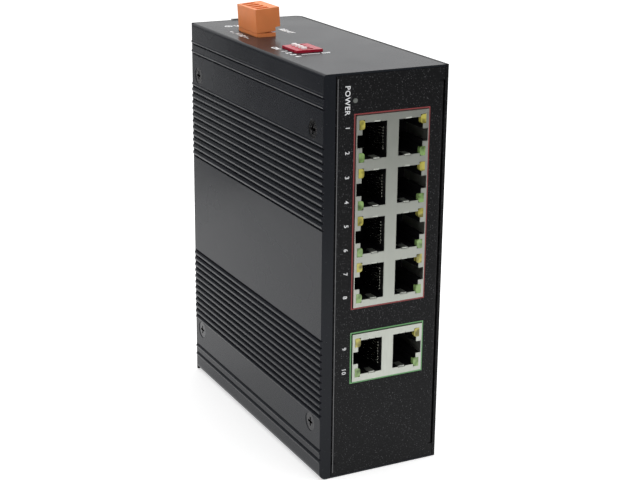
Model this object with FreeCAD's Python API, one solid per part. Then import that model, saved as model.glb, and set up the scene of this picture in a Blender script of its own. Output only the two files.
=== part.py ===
import FreeCAD, Part

import math
import os

# A ten-port ethernet switch for a DIN rail, in millimetres.
# The origin is the centre of the housing's bottom face: +X runs from the ribbed
# wall to the sheet cover, +Y from the port face to the rail, and +Z up.

# ---- housing -------------------------------------------------------------------
WIDTH = 46.0            # ribbed wall to sheet cover, over both
HEIGHT = 140.0
DEPTH = 109.0           # front plate's face to the extrusion's back end
SIDE_WALL = 4.6         # ribbed wall, over its ribs
FLOOR_WALL = 2.4        # top and bottom walls of the extrusion
TOP_EDGE_RADIUS = 1.2   # long edges of the ribbed wall
BOTTOM_EDGE_RADIUS = 2.6
REAR_CORNER = 2.2       # rounding of the top and bottom walls inside the cover's bend
PLATE_LIP = 0.8         # body edge left showing above and below the front plate
SEAM = 0.2              # gap between neighbouring housing pieces
PLATE_SEAM = 0.3        # gap between the front plate and the ribbed wall
RABBET_PLAY = 0.1

# ---- ribs and trim grooves of the side wall ------------------------------------
RIB_PITCH = 2.46
GROOVES_PER_GROUP = 12
FIRST_GROOVE = 23.85    # outermost rib groove, from the top or bottom face
GROOVE_MOUTH = 0.8
GROOVE_FLOOR = 0.45
GROOVE_DEPTH = 0.9
RIB_CROWN = 0.3         # rise of each rounded rib over its shoulders
TRIM_GROOVES = (7.7, 11.25)     # two fine grooves, from the top or bottom face
TRIM_WIDTH = 0.6
TRIM_DEPTH = 0.6
BEAD_WIDTH = 1.2        # rounded bead along the outer side of each group and trim groove
BEAD_RISE = 0.28

# ---- sheet parts ---------------------------------------------------------------
PLATE_SHEET = 1.2
PLATE_BEND = 1.2        # outer bend radius of the front plate's flanges
PLATE_INNER_BEND = 0.3
FLANGE_DEPTH = 12.0
CORNER_TAB = 4.2        # flat corner left above and below each flange
BEND_RELIEF = 0.3
COVER_SHEET = 1.0
COVER_BEND = 3.0
COVER_INSET = 0.7       # how far the cover's rear face stops short of the ribbed wall
LUG_HEIGHT = 14.0
LUG_REACH = 4.7         # in front of the rear side screws

# ---- screws --------------------------------------------------------------------
SCREW_SHANK = 3.0
SCREW_HOLE = 3.3
COUNTERSUNK_HEAD = 6.2
HEAD_SINK = 0.2         # how far a flush head lies under the face
PAN_HEAD = 5.6
PAN_HEIGHT = 1.9
PAN_SLOPE = 0.7
RECESS_LEAD = 0.1
SIDE_SCREW_LENGTH = 7.5
SIDE_SCREW_FRONT = 7.6  # from the port face
SIDE_SCREW_BACK = 5.8   # from the extrusion's back end
SIDE_SCREW_INSET = 18.9 # from the top and bottom faces
COVER_SCREW_LENGTH = 3.5
BRACKET_SCREW_LENGTH = 6.0
CROSS_WIDTH = 3.2
CROSS_SLOT = 0.8
CROSS_DEPTH = 1.0
NUT_WIDTH = 5.5
NUT_HEIGHT = 2.4

# ---- stacked jacks -------------------------------------------------------------
PORT_PITCH = 16.0
JACK_WIDTH = 26.8       # over the two columns of ports
JACK_END = 17.0         # length of a jack block with one row
JACK_DEPTH = 26.0
JACK_PROUD = 0.5        # how far the shield stands out of the front plate
JACK_DROP = 14.1        # top face of the housing to the top of the four-row block
BLOCK_GAP = 9.55        # between the two blocks
LARGE_JACK_ROWS = 4
SHIELD_SHEET = 0.3
JACK_CLEARANCE = 0.25   # between a shield and its cut-out, and between modules
COLUMN_GAP = 4.3        # divider between the two columns of ports
PORT_WIDTH = 12.2
PORT_BODY = 8.2         # depth of the plug space, across the stack
PORT_STEP = 9.1         # the same, with the latch's step
STEP_WIDTH = 7.6
NOTCH_WIDTH = 4.3
CAVITY_LENGTH = 14.5
LIGHT_THICKNESS = 2.0
LIGHT_LENGTH = 3.1
LIGHT_OFFSET = 5.4      # port centre to the centre of either light
LIGHT_CORNER = 0.9      # rounding of a lens beside its port
LENS_DEPTH = 1.2
LENS_PROUD = 0.1        # lights stand this far out of their holes
LENS_PLAY = 0.05
STEM_THICKNESS = 1.3    # light pipe behind the lens, away from the port
STEM_REACH = 10.0
TAB_START = 2.5         # where the shield's spring tabs lie, across the stack
TAB_WIDTH = 2.3
TAB_SLIT = 0.2
TAB_LENGTH = 4.0
TAB_BEND = 0.6          # outer radius where a tab turns into its port
TAB_REACH = 0.25        # how far a tab stands into its port
TAB_ROOM = 0.15         # room behind a tab in the insulator
CONTACTS = 8
CONTACT_PITCH = 1.02
CONTACT_WIDTH = 0.4
CONTACT_SHEET = 0.35
CONTACT_FRONT = 1.5     # loop of a contact behind the shield's face
CONTACT_BACK = 9.0
CONTACT_LOOP = 0.75     # how far the loop stands off the divider
CONTACT_LIFT = 2.6      # how far the free end stands off the divider
CONTACT_TIP = 9.3

# ---- status light --------------------------------------------------------------
STATUS_HOLE = 1.6
STATUS_INSET = 6.75     # from the front plate's left edge
STATUS_DROP = 9.1       # below the top face
STATUS_FLANGE = 0.6
STATUS_LENGTH = 5.0

# ---- boards --------------------------------------------------------------------
BOARD = 1.6
BOARD_PLAY = 0.1
GUIDE_RIB = 1.0
GUIDE_HEIGHT = 3.0
IO_BOARD_DROP = 2.6     # from the top wall's underside down to the small board
BOARD_MARGIN = 4.3      # main board to the open edge of the extrusion
BOARD_FRONT_GAP = 2.5
BOARD_BACK_GAP = 3.0
IO_BOARD_START = 28.0   # from the port face
IO_BOARD_END = 13.0     # from the extrusion's back end
IO_BOARD_SIDE = 0.8     # gap to the ribbed wall
IO_BOARD_GAP = 3.2      # gap to the main board
SPACER_INSET = 4.0      # spacer centres from the small board's edges
BOARD_SCREW = 2.5
BOARD_SCREW_BITE = 1.6
BOARD_SCREW_HEAD = 4.5
BOARD_SCREW_HEAD_HEIGHT = 1.6
LINK_DEPTH = 5.0
LINK_LENGTH = 20.0
LINK_HEIGHT = 8.0
LINK_BEHIND = 26.0      # behind the jacks
TRANSFORMER = (6.0, 10.0, 13.0)
TRANSFORMER_GAP = 4.0   # behind the jacks
CHIP = (1.6, 20.0, 20.0)
CHIP_BEHIND = 26.5      # behind the jacks
CHIP_RISE = 8.0         # above mid height
SINK_FINS = 6
SINK_FIN = 1.2
SINK_HEIGHT = 9.0
SINK_BASE = 2.0
CAPACITORS = 2
CAPACITOR_RADIUS = 4.0
CAPACITOR_HEIGHT = 12.0
CAPACITOR_PITCH = 11.0
CAPACITOR_INSET = 21.0  # from the extrusion's back end
CAPACITOR_RISE = 30.0   # above mid height
INDUCTOR = (6.5, 12.0, 12.0)
INDUCTOR_INSET = 15.0   # from the extrusion's back end
INDUCTOR_DROP = 30.0    # below mid height, to its top

# ---- power terminal ------------------------------------------------------------
POLES = 4
POLE_PITCH = 3.81
POLE_END = 0.35         # housing beyond the outer poles, at either end
TERMINAL_LEFT = 9.6
TERMINAL_BACK = 22.56   # from the extrusion's back end
HEADER_WIDTH = 7.4
HEADER_WALL = 0.9
HEADER_UNDERCUT = 0.7   # how much narrower the header is below its rim
HEADER_RIM = 1.3        # rim above the top face
HEADER_FLOOR = 1.2
PIN_DROP = 0.5          # pins below the header's rim
PIN_ROOM = 0.6          # room for the pins above the plug's seat
RIM_GAP = 0.1           # rim's underside above the top face
PLUG_WIDTH = 9.3
PLUG_HEIGHT = 8.4
PLUG_STEP = 1.4         # lower part of the plug, as narrow as the header
PLUG_PLAY = 0.4
PLUG_REST = 0.1         # plug's shoulder above the header's rim
PLUG_LEAN = 4.0         # degrees that the plug leans in its header's play
NOSE_DEPTH = 3.6
WIRE_SLOT_INSET = 1.2
WIRE_SLOT_WIDTH = 4.8
WIRE_SLOT_LENGTH = 2.6
WIRE_SLOT_DEPTH = 4.0
CLAMP_HEIGHT = 1.2
CLAMP_WALL = 0.5
CLAMP_SCREW = 2.5
CLAMP_SCREW_LENGTH = 1.2
CLAMP_SCREW_SINK = 0.4
CLAMP_SCREW_PLAY = 0.1
CLAMP_BLADE = 0.4
PIN = 1.0
WINDOW_CLEARANCE = 0.3

# ---- four-way switch on the top face ------------------------------------------
WAYS = 4
WAY_PITCH = 2.54
DIP_LEFT = 9.1
DIP_FRONT = 37.1
DIP_WIDTH = 9.8
DIP_LENGTH = 11.6
DIP_RISE = 0.8
DIP_PLAY = 0.15
KEY_WIDTH = 1.2
KEY_LENGTH = 1.6
KEY_RISE = 0.75
KEY_TRAVEL = 2.4
KEY_POCKET = 2.0
KEY_ROUNDING = 0.15

# ---- rail bracket --------------------------------------------------------------
RAIL_HEIGHT = 35.0
RAIL_RISE = 4.0         # rail's centre line above mid height
BRACKET_SHEET = 1.5
BRACKET_REACH = 38.0    # bracket above and below the rail's centre line
BRACKET_SCREW_PLAY = 0.1    # between a screw head and the latch guide
BRACKET_SCREW_INSET = 6.0   # from the bracket's ends
BRACKET_EDGE = 3.9      # screw centre to the bracket's side
TONGUE_WIDTH = 11.0
TONGUE_RISE = 0.3       # tongue above the housing's top face
HOOK_INSET = 2.0
HOOK_WIDTH = 8.0
HOOK_BITE = 2.5
HOOK_GAP = 1.3          # room behind the bracket for the rail's flange
RAIL_PLAY = 0.2
LATCH_WIDTH = 16.0
LATCH_THICKNESS = 4.6
LATCH_TRAVEL = 5.0
LATCH_TAIL = 12.0       # latch's lower end below the bracket
LATCH_PLAY = 0.2
TAIL_WIDTH = 9.6
TAIL_SLOT_WIDTH = 5.6
TAIL_SLOT_HEIGHT = 2.5
TAIL_SLOT_INSET = 2.5
GUIDE_SHEET = 1.5
GUIDE_LIP = 1.8
GUIDE_DROP = 2.0        # guides below the latch's upper end
NOSE_CHAMFER = 0.6      # the latch's nose at its tip, and at its root
NOSE_ROOT = 1.2
NOSE_OVERLAP = 1.0
SPRING_RADIUS = 1.45
SPRING_WIRE = 0.5
SPRING_LENGTH = 8.6
SPRING_TURNS = 5
SPRING_SEAT = 1.2
SPRING_RISE = 4.0       # spring's seat above the bracket's lower end

EXTRA = 1.0             # how far a cutting tool runs past what it cuts

# ---- places that follow from the sizes above -----------------------------------
LEFT = -WIDTH / 2
RIGHT = WIDTH / 2
FRONT = -DEPTH / 2
BACK = DEPTH / 2
MIDDLE = HEIGHT / 2
WALL_INSIDE = LEFT + SIDE_WALL
COVER_INSIDE = RIGHT - COVER_SHEET
BODY_OPEN = COVER_INSIDE - SEAM
CEILING = HEIGHT - FLOOR_WALL
PLATE_LEFT = WALL_INSIDE + PLATE_SEAM
FACE = LEFT + RIB_CROWN  # flat of the ribbed wall, under its crowns and beads
PLATE_RIGHT = COVER_INSIDE - SEAM
COVER_BACK = BACK + SEAM / 2 + COVER_SHEET
BRACKET_BACK = COVER_BACK + BRACKET_SHEET
TERMINAL_LENGTH = POLES * POLE_PITCH + 2 * POLE_END
TERMINAL_Y = BACK - TERMINAL_BACK - TERMINAL_LENGTH
BOARD_LEFT = BODY_OPEN - BOARD_MARGIN - BOARD
JACK_RIGHT = BOARD_LEFT - BOARD_PLAY
JACK_LEFT = JACK_RIGHT - JACK_WIDTH
JACK_CENTRE = JACK_RIGHT - JACK_WIDTH / 2
JACK_FACE = FRONT - JACK_PROUD
JACK_BACK = JACK_FACE + JACK_DEPTH
LARGE_JACK_LENGTH = JACK_END + (LARGE_JACK_ROWS - 1) * PORT_PITCH
LARGE_JACK_HEIGHT = HEIGHT - JACK_DROP - LARGE_JACK_LENGTH / 2
SMALL_JACK_HEIGHT = HEIGHT - JACK_DROP - LARGE_JACK_LENGTH - BLOCK_GAP - JACK_END / 2
STATUS_X = PLATE_LEFT + STATUS_INSET
STATUS_Z = HEIGHT - STATUS_DROP
IO_BOARD_TOP = CEILING - IO_BOARD_DROP
IO_BOARD_BOTTOM = IO_BOARD_TOP - BOARD
IO_BOARD_LEFT = WALL_INSIDE + IO_BOARD_SIDE
IO_BOARD_RIGHT = BOARD_LEFT - IO_BOARD_GAP
IO_BOARD_FRONT = FRONT + IO_BOARD_START
IO_BOARD_BACK = BACK - IO_BOARD_END
SCREW_ROWS = (SIDE_SCREW_INSET, HEIGHT - SIDE_SCREW_INSET)
SCREW_FRONT_Y = FRONT + SIDE_SCREW_FRONT
SCREW_BACK_Y = BACK - SIDE_SCREW_BACK
RAIL_CENTRE = MIDDLE + RAIL_RISE
RAIL_TOP = RAIL_CENTRE + RAIL_HEIGHT / 2 + RAIL_PLAY
LATCH_TOP = RAIL_CENTRE - RAIL_HEIGHT / 2 - RAIL_PLAY
BRACKET_TOP = RAIL_CENTRE + BRACKET_REACH
BRACKET_BOTTOM = RAIL_CENTRE - BRACKET_REACH
LATCH_BOTTOM = BRACKET_BOTTOM - LATCH_TAIL
SPRING_Z = BRACKET_BOTTOM + SPRING_RISE
GUIDE_INSIDE = LATCH_WIDTH / 2 + LATCH_PLAY
BRACKET_SCREW_X = GUIDE_INSIDE + GUIDE_SHEET + PAN_HEAD / 2 + BRACKET_SCREW_PLAY
BRACKET_HALF = BRACKET_SCREW_X + BRACKET_EDGE
LATCH_FACE = BRACKET_BACK + LATCH_PLAY
HOOK_FACE = BRACKET_BACK + HOOK_GAP

UP = FreeCAD.Vector(0, 0, 1)
ACROSS = FreeCAD.Vector(1, 0, 0)
INWARD = FreeCAD.Vector(0, 1, 0)


def point(x, y, z):
    return FreeCAD.Vector(x, y, z)


def block(x, y, z):
    """A box between two bounds on each axis."""
    return Part.makeBox(x[1] - x[0], y[1] - y[0], z[1] - z[0], point(x[0], y[0], z[0]))


def rod(radius, start, along, length):
    return Part.makeCylinder(radius, length, start, along)


def joined(shapes):
    whole = shapes[0]
    for shape in shapes[1:]:
        whole = whole.fuse(shape)
    return whole.removeSplitter()


def cut(shape, tools):
    return shape.cut(Part.makeCompound(tools)) if tools else shape


def outline(start, moves):
    """A closed wire from a start point: each move is an end, or a middle and an end of an arc."""
    edges = []
    here = start
    for move in moves:
        if len(move) == 2:
            edges.append(Part.Arc(here, move[0], move[1]).toShape())
        elif here.distanceToPoint(move[0]) > 1e-6:
            edges.append(Part.LineSegment(here, move[0]).toShape())
        here = move[-1]
    return Part.Wire(edges)


def extruded(wire, along):
    return Part.Face(wire).extrude(along)


def polygon(points, along):
    corners = [point(*p) for p in points]
    return extruded(Part.makePolygon(corners + corners[:1]), along)


def save(name, shape):
    shape.exportStep("parts/" + name + ".step")


def save_group(name, solids):
    save(name, Part.makeCompound(solids))


# ---- housing -------------------------------------------------------------------
def groove_centres():
    """Rib grooves from the top down, in two groups that mirror each other."""
    upper = [HEIGHT - FIRST_GROOVE - RIB_PITCH * k for k in range(GROOVES_PER_GROUP)]
    lower = [HEIGHT - z for z in reversed(upper)]
    return upper, lower


def bead_moves(high, low):
    """A rounded bead on the flat of the wall, between two heights."""
    crown = point(FACE - BEAD_RISE, FRONT, (high + low) / 2)
    return [(point(FACE, FRONT, high),), (crown, point(FACE, FRONT, low))]


def trim_moves(z, bead_side):
    """A fine groove with a bead along the side that faces the wall's nearer end."""
    half = TRIM_WIDTH / 2
    groove = [(point(FACE, FRONT, z + half),),
              (point(FACE + TRIM_DEPTH, FRONT, z),),
              (point(FACE, FRONT, z - half),)]
    if bead_side > 0:
        return bead_moves(z + half + BEAD_WIDTH, z + half) + groove
    return groove + bead_moves(z - half, z - half - BEAD_WIDTH)


def rib_moves(centres):
    """Grooves with rounded ribs between them."""
    mouth = GROOVE_MOUTH / 2
    floor = GROOVE_FLOOR / 2
    bottom = LEFT + GROOVE_DEPTH
    moves = []
    for index, z in enumerate(centres):
        moves.append((point(FACE, FRONT, z + mouth),))
        moves.append((point(bottom, FRONT, z + floor),))
        moves.append((point(bottom, FRONT, z - floor),))
        moves.append((point(FACE, FRONT, z - mouth),))
        if index < len(centres) - 1:
            below = centres[index + 1] + mouth
            crown = point(LEFT, FRONT, (z - mouth + below) / 2)
            moves.append((crown, point(FACE, FRONT, below)))
    return moves


def guide_moves(wall_z, tip_z):
    """Two ribs on the inside of the top or bottom wall that hold the main board."""
    near = BOARD_LEFT - BOARD_PLAY
    far = BOARD_LEFT + BOARD + BOARD_PLAY
    steps = [(near - GUIDE_RIB, wall_z), (near - GUIDE_RIB, tip_z), (near, tip_z), (near, wall_z),
             (far, wall_z), (far, tip_z), (far + GUIDE_RIB, tip_z), (far + GUIDE_RIB, wall_z)]
    return [(point(x, FRONT, z),) for x, z in steps]


def body_profile():
    """The extrusion's section, from the top left edge down the ribbed wall and round."""
    bend = 1 - math.sqrt(0.5)
    top = TOP_EDGE_RADIUS
    low = BOTTOM_EDGE_RADIUS
    mouth = GROOVE_MOUTH / 2
    upper, lower = groove_centres()
    moves = []
    for inset in TRIM_GROOVES:
        moves += trim_moves(HEIGHT - inset, 1)
    moves += bead_moves(upper[0] + mouth + BEAD_WIDTH, upper[0] + mouth)
    moves += rib_moves(upper) + rib_moves(lower)
    moves += bead_moves(lower[-1] - mouth, lower[-1] - mouth - BEAD_WIDTH)
    for inset in reversed(TRIM_GROOVES):
        moves += trim_moves(inset, -1)
    moves += [(point(FACE, FRONT, low),),
              (point(FACE + low * bend, FRONT, low * bend), point(FACE + low, FRONT, 0)),
              (point(BODY_OPEN, FRONT, 0),),
              (point(BODY_OPEN, FRONT, FLOOR_WALL),)]
    moves += list(reversed(guide_moves(FLOOR_WALL, FLOOR_WALL + GUIDE_HEIGHT)))
    moves += [(point(WALL_INSIDE, FRONT, FLOOR_WALL),),
              (point(WALL_INSIDE, FRONT, CEILING),)]
    moves += guide_moves(CEILING, CEILING - GUIDE_HEIGHT)
    start = point(FACE, FRONT, HEIGHT - top)
    moves += [(point(BODY_OPEN, FRONT, CEILING),),
              (point(BODY_OPEN, FRONT, HEIGHT),),
              (point(FACE + top, FRONT, HEIGHT),),
              (point(FACE + top * bend, FRONT, HEIGHT - top * bend), start)]
    return outline(start, moves)


def countersink(y, z):
    """A clearance hole through the ribbed wall with a cone for a flush head."""
    outside = FACE - EXTRA
    hole = rod(SCREW_HOLE / 2, point(outside, y, z), ACROSS, SIDE_WALL + 2 * EXTRA)
    wide = COUNTERSUNK_HEAD / 2 + HEAD_SINK + EXTRA
    cone = Part.makeCone(wide, SCREW_HOLE / 2, wide - SCREW_HOLE / 2, point(outside, y, z), ACROSS)
    return [hole, cone]


def terminal_bounds():
    """The header's sides across and along the housing."""
    left = LEFT + TERMINAL_LEFT
    return (left, left + HEADER_WIDTH), (TERMINAL_Y, TERMINAL_Y + TERMINAL_LENGTH)


def dip_bounds():
    left = LEFT + DIP_LEFT
    front = FRONT + DIP_FRONT
    return (left, left + DIP_WIDTH), (front, front + DIP_LENGTH)


def top_windows():
    """The openings in the top wall for the terminal and the four-way switch."""
    through = (CEILING - EXTRA, HEIGHT + EXTRA)
    x, y = terminal_bounds()
    terminal = block((x[0] - WINDOW_CLEARANCE, x[1] + WINDOW_CLEARANCE),
                     (y[0] - WINDOW_CLEARANCE, y[1] + WINDOW_CLEARANCE), through)
    x, y = dip_bounds()
    dip = block((x[0] - DIP_PLAY, x[1] + DIP_PLAY), (y[0] - DIP_PLAY, y[1] + DIP_PLAY), through)
    return [terminal, dip]


def spacer_places():
    """Where the small board hangs from the top wall."""
    xs = (IO_BOARD_LEFT + SPACER_INSET, IO_BOARD_RIGHT - SPACER_INSET)
    ys = (IO_BOARD_FRONT + SPACER_INSET, IO_BOARD_BACK - SPACER_INSET)
    return [(x, y) for x in xs for y in ys]


def rear_corners():
    """What the rounded rear corners of the top and bottom walls leave out."""
    edge = (BODY_OPEN - REAR_CORNER, BACK - REAR_CORNER)
    corner = block((edge[0], BODY_OPEN + EXTRA), (edge[1], BACK + EXTRA), (-EXTRA, HEIGHT + EXTRA))
    return cut(corner, [rod(REAR_CORNER, point(edge[0], edge[1], -EXTRA), UP, HEIGHT + 2 * EXTRA)])


def make_body():
    body = extruded(body_profile(), point(0, DEPTH, 0))
    rabbet = block((WALL_INSIDE, RIGHT), (FRONT - EXTRA, FRONT + PLATE_SHEET + RABBET_PLAY),
                   (PLATE_LIP - RABBET_PLAY, HEIGHT - PLATE_LIP + RABBET_PLAY))
    tools = [rabbet, rear_corners()] + top_windows()
    for z in SCREW_ROWS:
        for y in (SCREW_FRONT_Y, SCREW_BACK_Y):
            tools += countersink(y, z)
    for x, y in spacer_places():
        tools.append(rod(BOARD_SCREW / 2, point(x, y, CEILING - EXTRA), UP,
                         EXTRA + BOARD_SCREW_BITE))
    save("body_extrusion", cut(body, tools))


# ---- front plate ---------------------------------------------------------------
def jack_size(rows):
    return JACK_END + (rows - 1) * PORT_PITCH


def jack_cutout(rows, height):
    half = jack_size(rows) / 2 + JACK_CLEARANCE
    return block((JACK_LEFT - JACK_CLEARANCE, JACK_RIGHT + JACK_CLEARANCE),
                 (FRONT - EXTRA, FRONT + PLATE_SHEET + EXTRA), (height - half, height + half))


def flanged_strip(z_low, z_high):
    """The bent part of the plate: the face with a flange folded back on each side."""
    outer = PLATE_BEND
    inner = PLATE_INNER_BEND
    turn_out = outer * (1 - math.sqrt(0.5))
    corner = PLATE_SHEET + inner
    turn_in = PLATE_SHEET + inner * (1 - math.sqrt(0.5))
    end = FRONT + FLANGE_DEPTH
    a, b = PLATE_LEFT, PLATE_RIGHT

    def at(x, y):
        return point(x, FRONT + y, z_low)

    moves = [(at(a, outer),),
             (at(a + turn_out, turn_out), at(a + outer, 0)),
             (at(b - outer, 0),),
             (at(b - turn_out, turn_out), at(b, outer)),
             (point(b, end, z_low),),
             (point(b - PLATE_SHEET, end, z_low),),
             (at(b - PLATE_SHEET, corner),),
             (at(b - turn_in, turn_in), at(b - corner, PLATE_SHEET)),
             (at(a + corner, PLATE_SHEET),),
             (at(a + turn_in, turn_in), at(a + PLATE_SHEET, corner)),
             (point(a + PLATE_SHEET, end, z_low),),
             (point(a, end, z_low),)]
    return extruded(outline(point(a, end, z_low), moves), point(0, 0, z_high - z_low))


def make_front_plate():
    low = PLATE_LIP
    high = HEIGHT - PLATE_LIP
    bend_low = low + CORNER_TAB
    bend_high = high - CORNER_TAB
    face = (FRONT, FRONT + PLATE_SHEET)
    bend = PLATE_SHEET + PLATE_INNER_BEND
    inside = (PLATE_LEFT + bend, PLATE_RIGHT - bend)
    plate = joined([flanged_strip(bend_low + BEND_RELIEF, bend_high - BEND_RELIEF),
                    block(inside, face, (low, high)),
                    block((PLATE_LEFT, PLATE_RIGHT), face, (low, bend_low)),
                    block((PLATE_LEFT, PLATE_RIGHT), face, (bend_high, high))])
    tools = [jack_cutout(LARGE_JACK_ROWS, LARGE_JACK_HEIGHT), jack_cutout(1, SMALL_JACK_HEIGHT),
             rod(STATUS_HOLE / 2, point(STATUS_X, FRONT - EXTRA, STATUS_Z), INWARD,
                 PLATE_SHEET + 2 * EXTRA)]
    for z in SCREW_ROWS:
        tools.append(rod(SCREW_SHANK / 2, point(LEFT, SCREW_FRONT_Y, z), ACROSS, WIDTH))
    save("front_plate", cut(plate, tools))


# ---- sheet cover ---------------------------------------------------------------
def make_cover():
    """Right side and rear in one bent sheet, with two lugs behind the ribbed wall."""
    outer = COVER_BEND
    inner = COVER_BEND - COVER_SHEET
    turn_out = outer * (1 - math.sqrt(0.5))
    turn_in = COVER_SHEET + inner * (1 - math.sqrt(0.5))
    rear_left = LEFT + COVER_INSET

    def at(x, y):
        return point(x, y, 0)

    moves = [(at(RIGHT, COVER_BACK - outer),),
             (at(RIGHT - turn_out, COVER_BACK - turn_out), at(RIGHT - outer, COVER_BACK)),
             (at(rear_left, COVER_BACK),),
             (at(rear_left, COVER_BACK - COVER_SHEET),),
             (at(RIGHT - outer, COVER_BACK - COVER_SHEET),),
             (at(RIGHT - turn_in, COVER_BACK - turn_in), at(COVER_INSIDE, COVER_BACK - outer)),
             (at(COVER_INSIDE, FRONT),),
             (at(RIGHT, FRONT),)]
    sheet = extruded(outline(at(RIGHT, FRONT), moves), point(0, 0, HEIGHT))
    lug_left = WALL_INSIDE + SEAM
    lugs = [block((lug_left, lug_left + COVER_SHEET),
                  (SCREW_BACK_Y - LUG_REACH, COVER_BACK - COVER_SHEET / 2),
                  (z - LUG_HEIGHT / 2, z + LUG_HEIGHT / 2)) for z in SCREW_ROWS]
    tools = []
    for z in SCREW_ROWS:
        tools.append(rod(SCREW_SHANK / 2, point(LEFT, SCREW_BACK_Y, z), ACROSS, WIDTH / 2))
        tools.append(rod(SCREW_HOLE / 2, point(COVER_INSIDE - EXTRA, SCREW_FRONT_Y, z), ACROSS,
                         COVER_SHEET + 2 * EXTRA))
    for x, z in bracket_screw_places():
        tools.append(rod(SCREW_HOLE / 2, point(x, COVER_BACK - COVER_SHEET - EXTRA, z), INWARD,
                         COVER_SHEET + 2 * EXTRA))
    save("wrap_cover", cut(joined([sheet] + lugs), tools))


# ---- screws --------------------------------------------------------------------
def cross_recess(start, along):
    """Two crossed slots cut into a screw head from just above its top."""
    across = UP if abs(along.z) < 0.5 else ACROSS
    other = along.cross(across)
    start = start - along * RECESS_LEAD
    slots = []
    for a, b in ((across, other), (other, across)):
        corner = start - a * (CROSS_WIDTH / 2) - b * (CROSS_SLOT / 2)
        ends = [corner, corner + a * CROSS_WIDTH, corner + a * CROSS_WIDTH + b * CROSS_SLOT,
                corner + b * CROSS_SLOT, corner]
        face = Part.Face(Part.makePolygon(ends))
        slots.append(face.extrude(along * (CROSS_DEPTH + RECESS_LEAD)))
    return slots


def flat_screw(y, z):
    """A countersunk screw through the ribbed wall; its head lies just under the face."""
    top = FACE + HEAD_SINK
    radius = COUNTERSUNK_HEAD / 2
    neck = radius - SCREW_SHANK / 2
    head = Part.makeCone(radius, SCREW_SHANK / 2, neck, point(top, y, z), ACROSS)
    shank = rod(SCREW_SHANK / 2, point(top + neck, y, z), ACROSS, SIDE_SCREW_LENGTH - neck)
    return cut(joined([head, shank]), cross_recess(point(top, y, z), ACROSS))


def pan_screw(seat, along, length):
    """A pan-head screw: its head stands behind the seat and its shank runs along."""
    dome = Part.makeCone(PAN_HEAD / 2 - PAN_SLOPE, PAN_HEAD / 2, PAN_SLOPE,
                         seat - along * PAN_HEIGHT, along)
    straight = PAN_HEIGHT - PAN_SLOPE
    head = rod(PAN_HEAD / 2, seat - along * straight, along, straight)
    shank = rod(SCREW_SHANK / 2, seat, along, length)
    return cut(joined([dome, head, shank]), cross_recess(seat - along * PAN_HEIGHT, along))


def make_screws():
    flat = [flat_screw(y, z) for z in SCREW_ROWS for y in (SCREW_FRONT_Y, SCREW_BACK_Y)]
    save_group("side_screws", flat)
    pan = [pan_screw(point(RIGHT, SCREW_FRONT_Y, z), -ACROSS, COVER_SCREW_LENGTH)
           for z in SCREW_ROWS]
    save_group("cover_screws", pan)


# ---- jacks ---------------------------------------------------------------------
def port_rows(rows, height):
    return [height + PORT_PITCH * (rows - 1) / 2 - PORT_PITCH * k for k in range(rows)]


def port_sides():
    """The divider edge of each column and the way its ports open from it."""
    return [(JACK_CENTRE - COLUMN_GAP / 2, -1), (JACK_CENTRE + COLUMN_GAP / 2, 1)]


def port_block(edge, way, reach, y, z):
    """A box given by how far it lies from the divider's edge."""
    xs = sorted((edge + way * reach[0], edge + way * reach[1]))
    return block(xs, y, sorted(z))


def port_space(edge, way, height, y, outer_reach):
    """The space for one plug: body, latch step and latch notch."""
    half = PORT_WIDTH / 2
    step = STEP_WIDTH / 2
    notch = NOTCH_WIDTH / 2
    return joined([
        port_block(edge, way, (0, PORT_BODY), y, (height - half, height + half)),
        port_block(edge, way, (0, PORT_STEP), y, (height - step, height + step)),
        port_block(edge, way, (0, outer_reach), y, (height - notch, height + notch))])


def light_places(height):
    """Each light's centre, its colour and which side of the port it lies."""
    return [(height + LIGHT_OFFSET, "yellow", 1), (height - LIGHT_OFFSET, "green", -1)]


def light_block(edge, way, z, y, grow=0.0):
    half = LIGHT_LENGTH / 2 + grow
    return port_block(edge, way, (PORT_BODY, PORT_BODY + LIGHT_THICKNESS + grow), y,
                      (z - half, z + half))


def stem_block(edge, way, z, y):
    half = LIGHT_LENGTH / 2
    outer = PORT_BODY + LIGHT_THICKNESS
    return port_block(edge, way, (outer - STEM_THICKNESS, outer), y, (z - half, z + half))


def port_light(edge, way, z):
    """One light pipe: a lens beside the port, rounded where it meets it, and a stem."""
    start = JACK_FACE - LENS_PROUD
    lens = light_block(edge, way, z, (start, JACK_FACE + SHIELD_SHEET + LENS_DEPTH))
    near = edge + way * PORT_BODY
    rounded = [e for e in lens.Edges
               if all(abs(v.X - near) < 1e-6 for v in e.Vertexes)
               and abs(e.Vertexes[0].Z - e.Vertexes[1].Z) < 1e-6]
    stem = stem_block(edge, way, z, (JACK_FACE + SHIELD_SHEET, JACK_FACE + STEM_REACH))
    return joined([lens.makeFillet(LIGHT_CORNER, rounded), stem])


def spring_tab(edge, way, wall, side):
    """A strip of the shield that turns into the port along its end wall."""
    sheet = SHIELD_SHEET
    inner = TAB_BEND - sheet
    turn = 1 - math.sqrt(0.5)
    low = wall - side * TAB_REACH
    high = low + side * sheet
    far = low + side * TAB_BEND
    xs = sorted((edge + way * TAB_START, edge + way * (TAB_START + TAB_WIDTH)))
    end = JACK_FACE + TAB_LENGTH

    def at(y, z):
        return point(xs[0], JACK_FACE + y, z)

    moves = [(at(sheet, far),),
             (at(sheet + inner * turn, high + side * inner * turn), at(TAB_BEND, high)),
             (point(xs[0], end, high),),
             (point(xs[0], end, low),),
             (at(TAB_BEND, low),),
             (at(TAB_BEND * turn, low + side * TAB_BEND * turn), at(0, far))]
    return extruded(outline(at(0, far), moves), point(xs[1] - xs[0], 0, 0))


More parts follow.
